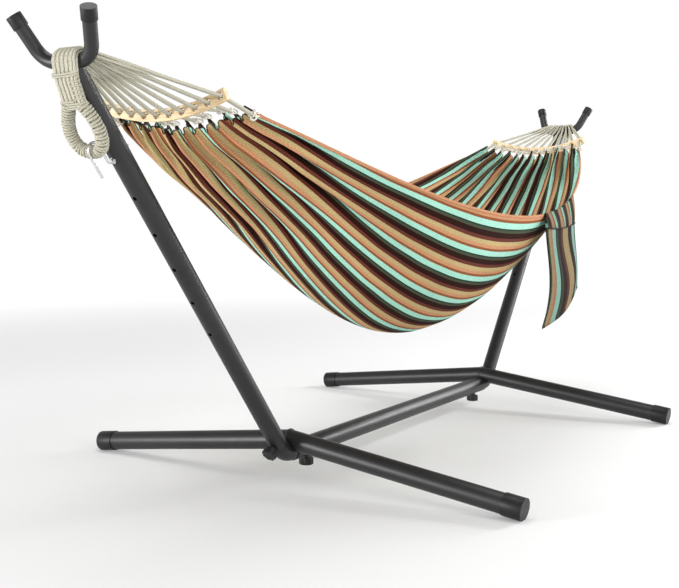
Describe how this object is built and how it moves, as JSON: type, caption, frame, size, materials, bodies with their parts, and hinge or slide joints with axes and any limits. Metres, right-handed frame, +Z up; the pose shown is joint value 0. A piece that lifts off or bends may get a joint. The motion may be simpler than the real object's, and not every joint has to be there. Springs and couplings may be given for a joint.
{
  "type": "hammock on stand",
  "caption": "Striped cotton hammock with wooden spreader bars and a side storage bag, slung by cords from the forked tops of a free-standing black steel tube stand.",
  "frame": {"origin": "on the floor under the middle of the base beam, midway between the two arms", "axes": "+X along the hammock from the A end to the B end, +Z up, +Y to the left; the bag hangs on the -Y side near the B end"},
  "size_m": [2.5392, 1.1902, 0.9895],
  "materials": {
    "black_steel": "satin black powder coat",
    "black_plastic": "moulded black plastic, lightly grained",
    "bright_steel": "zinc plated steel",
    "cotton_cord": "braided and whipped natural cotton",
    "white_cord": "braided white cotton",
    "pale_wood": "sanded pale hardwood, clear finish",
    "striped_cloth": "woven cotton with lengthwise stripes of terracotta, mint, grey, brown and tan",
    "edge_cloth": "rolled and stitched cotton edge",
    "bag_cloth": "woven cotton with stripes down the bag"
  },
  "bodies": {
    "stand": {"base_beam": "black_steel", "elbow_a": "black_steel", "elbow_b": "black_steel", "arm_a": "black_steel", "arm_b": "black_steel", "hook_tube_a": "black_steel", "hook_tube_b": "black_steel", "foot_tube_a_left": "black_steel", "foot_tube_a_right": "black_steel", "foot_tube_b_left": "black_steel", "foot_tube_b_right": "black_steel", "foot_cap_a_left": "black_plastic", "foot_cap_a_right": "black_plastic", "foot_cap_b_left": "black_plastic", "foot_cap_b_right": "black_plastic", "prong_cap_a_left": "black_plastic", "prong_cap_a_right": "black_plastic", "prong_cap_b_left": "black_plastic", "prong_cap_b_right": "black_plastic", "clamp_nuts": "bright_steel", "anchor_hook_a": "bright_steel", "anchor_hook_b": "bright_steel", "anchor_nuts": "bright_steel", "anchor_washers": "bright_steel", "saddle_cords_a": "cotton_cord", "saddle_cords_b": "cotton_cord", "loop_neck_a": "cotton_cord", "loop_neck_b": "cotton_cord", "anchor_loop_a": "cotton_cord", "anchor_loop_b": "cotton_cord"},
    "hammock": {"fan_cords_a": "cotton_cord", "fan_cords_b": "cotton_cord", "spreader_bar_a": "pale_wood", "spreader_bar_b": "pale_wood", "tail_cords_a": "cotton_cord", "tail_cords_b": "cotton_cord", "cord_knots_a": "white_cord", "cord_knots_b": "white_cord", "bed_fabric": "striped_cloth", "side_hem_left": "edge_cloth", "side_hem_right": "edge_cloth", "end_hem_a": "edge_cloth", "end_hem_b": "edge_cloth"},
    "bag": {"bag_header": "bag_cloth", "bag_body": "bag_cloth"},
    "arm_clamp_a": {"arm_knob_a": "black_plastic", "arm_knob_bolt_a": "bright_steel"},
    "arm_clamp_b": {"arm_knob_b": "black_plastic", "arm_knob_bolt_b": "bright_steel"},
    "beam_clamp_a": {"beam_knob_a": "black_plastic", "beam_knob_bolt_a": "bright_steel"},
    "beam_clamp_b": {"beam_knob_b": "black_plastic", "beam_knob_bolt_b": "bright_steel"}
  },
  "joints": [
    {"name": "hammock_swing", "type": "hinge", "parent": "stand", "child": "hammock", "pos_m": [0, 0, 0.91448], "axis": [1, 0, 0], "range_deg": [-25, 25]},
    {"name": "bag_swing", "type": "hinge", "parent": "hammock", "child": "bag", "pos_m": [0.1, -0.37364, 0.61487], "axis": [-0.9819, -0.1215, -0.1455], "range_deg": [-4, 45]},
    {"name": "arm_clamp_turn_a", "type": "hinge", "parent": "stand", "child": "arm_clamp_a", "pos_m": [-0.60937, 0, 0.08824], "axis": [-0.7891, 0, -0.6143], "continuous": true},
    {"name": "beam_clamp_turn_a", "type": "hinge", "parent": "stand", "child": "beam_clamp_a", "pos_m": [-0.472, 0, 0.045], "axis": [0, 0, -1], "continuous": true},
    {"name": "arm_clamp_turn_b", "type": "hinge", "parent": "stand", "child": "arm_clamp_b", "pos_m": [0.60937, 0, 0.08824], "axis": [0.7891, 0, -0.6143], "continuous": true},
    {"name": "beam_clamp_turn_b", "type": "hinge", "parent": "stand", "child": "beam_clamp_b", "pos_m": [0.472, 0, 0.045], "axis": [0, 0, -1], "continuous": true}
  ]
}
